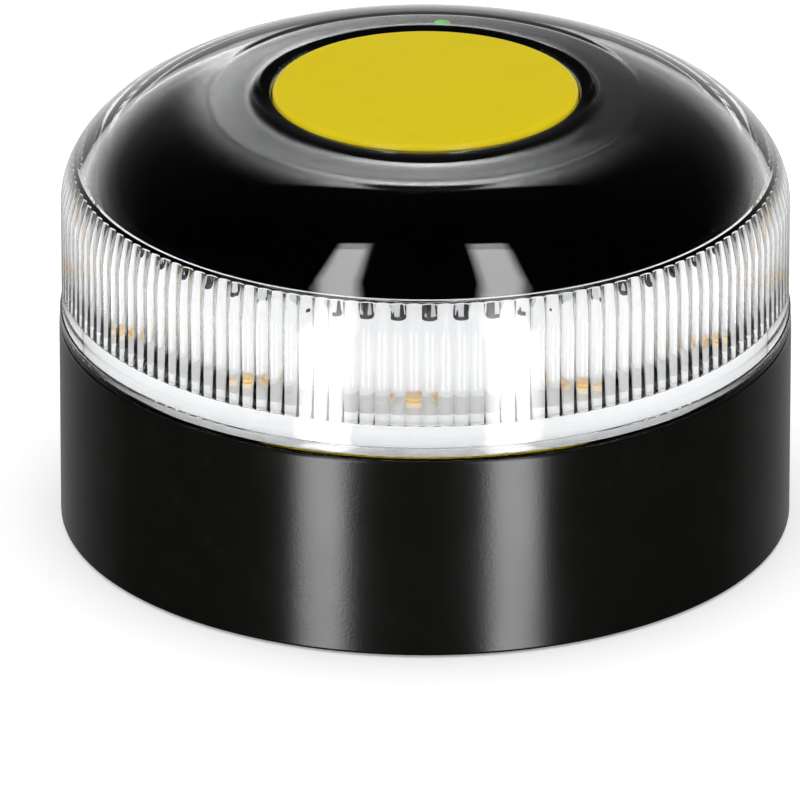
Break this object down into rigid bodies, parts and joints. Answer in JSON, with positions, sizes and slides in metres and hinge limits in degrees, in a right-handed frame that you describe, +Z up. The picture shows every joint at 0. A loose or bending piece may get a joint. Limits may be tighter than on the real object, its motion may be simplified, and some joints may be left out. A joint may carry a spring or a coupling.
{
  "type": "roadside warning beacon",
  "caption": "Magnetic roadside warning beacon: black drum with a clear fluted lens ring, glossy black dome, push button on top and a twist-off battery base.",
  "frame": {"origin": "centre of the face that the beacon stands on", "axes": "+Z up through the button, -Y towards the front, +X to the right seen from the front"},
  "size_m": [0.1, 0.1, 0.0627],
  "materials": {
    "rubber_foot": "matte",
    "black_satin": "satin",
    "black_moulding": "matte",
    "black_gloss": "gloss",
    "clear_lens": "gloss",
    "clear_rod": "gloss",
    "yellow_button": "satin",
    "white_plastic": "satin",
    "white_board": "satin",
    "green_board": "satin",
    "led_amber": "gloss",
    "steel": "satin",
    "spring_steel": "polished",
    "nickel": "polished",
    "cell_jacket": "satin",
    "seal_rubber": "satin",
    "silicone_seal": "satin",
    "chip_black": "matte",
    "ceramic_patch": "satin",
    "switch_plastic": "satin",
    "gold_pin": "polished",
    "board_led": "gloss"
  },
  "bodies": {
    "battery_base": {"foot_pad": "rubber_foot", "ring_retainer": "black_moulding", "retainer_screws": "steel", "base_plate": "black_moulding", "magnet": "nickel", "magnet_pad": "rubber_foot", "base_seal": "seal_rubber", "battery_tray": "black_moulding", "tray_screws": "steel", "cell_1": "cell_jacket", "cell_2": "cell_jacket", "cell_3": "cell_jacket", "contact_spring_1": "spring_steel", "contact_spring_2": "spring_steel", "contact_spring_3": "spring_steel", "link_plates": "nickel", "terminal_plates": "nickel", "supply_pins": "gold_pin"},
    "lock_ring": {"lock_ring": "black_satin"},
    "power_button": {"power_button": "yellow_button", "button_seal": "seal_rubber"},
    "switch_plunger": {"switch_plunger": "switch_plastic"},
    "housing": {"base_housing": "black_satin", "lens_seal": "silicone_seal", "lens_dome": "clear_lens", "top_shroud": "black_gloss", "comb_ring": "white_plastic", "status_light_pipe": "clear_rod", "reflector": "white_plastic", "reflector_screws": "steel", "shroud_screws": "steel", "led_carrier": "white_plastic", "carrier_screws": "steel", "led_board": "white_board", "led_chips": "led_amber", "main_board": "green_board", "board_screws": "steel", "controller_chip": "chip_black", "modem_shield": "nickel", "gnss_antenna": "ceramic_patch", "link_header": "chip_black", "button_board": "green_board", "button_board_screws": "steel", "switch_body": "switch_plastic", "status_led": "board_led", "button_spring": "spring_steel"}
  },
  "joints": [
    {"name": "housing_lift", "type": "slide", "parent": "battery_base", "child": "housing", "axis": [0, 0, 1], "range_m": [0, 0.05]},
    {"name": "ring_twist", "type": "hinge", "parent": "battery_base", "child": "lock_ring", "pos_m": [0, 0, 0.003], "axis": [0, 0, 1], "range_deg": [0, 45]},
    {"name": "button_press", "type": "slide", "parent": "housing", "child": "power_button", "axis": [0, 0, -1], "range_m": [0, 0.001], "stiffness_N_per_m": 1200, "springref_m": -0.0015, "deforming": ["button_spring"]},
    {"name": "plunger_press", "type": "slide", "parent": "housing", "child": "switch_plunger", "axis": [0, 0, -1], "range_m": [0, 0.001]}
  ],
  "couplings": [
    {"joint": "plunger_press", "follows": "button_press", "ratio": 1}
  ]
}
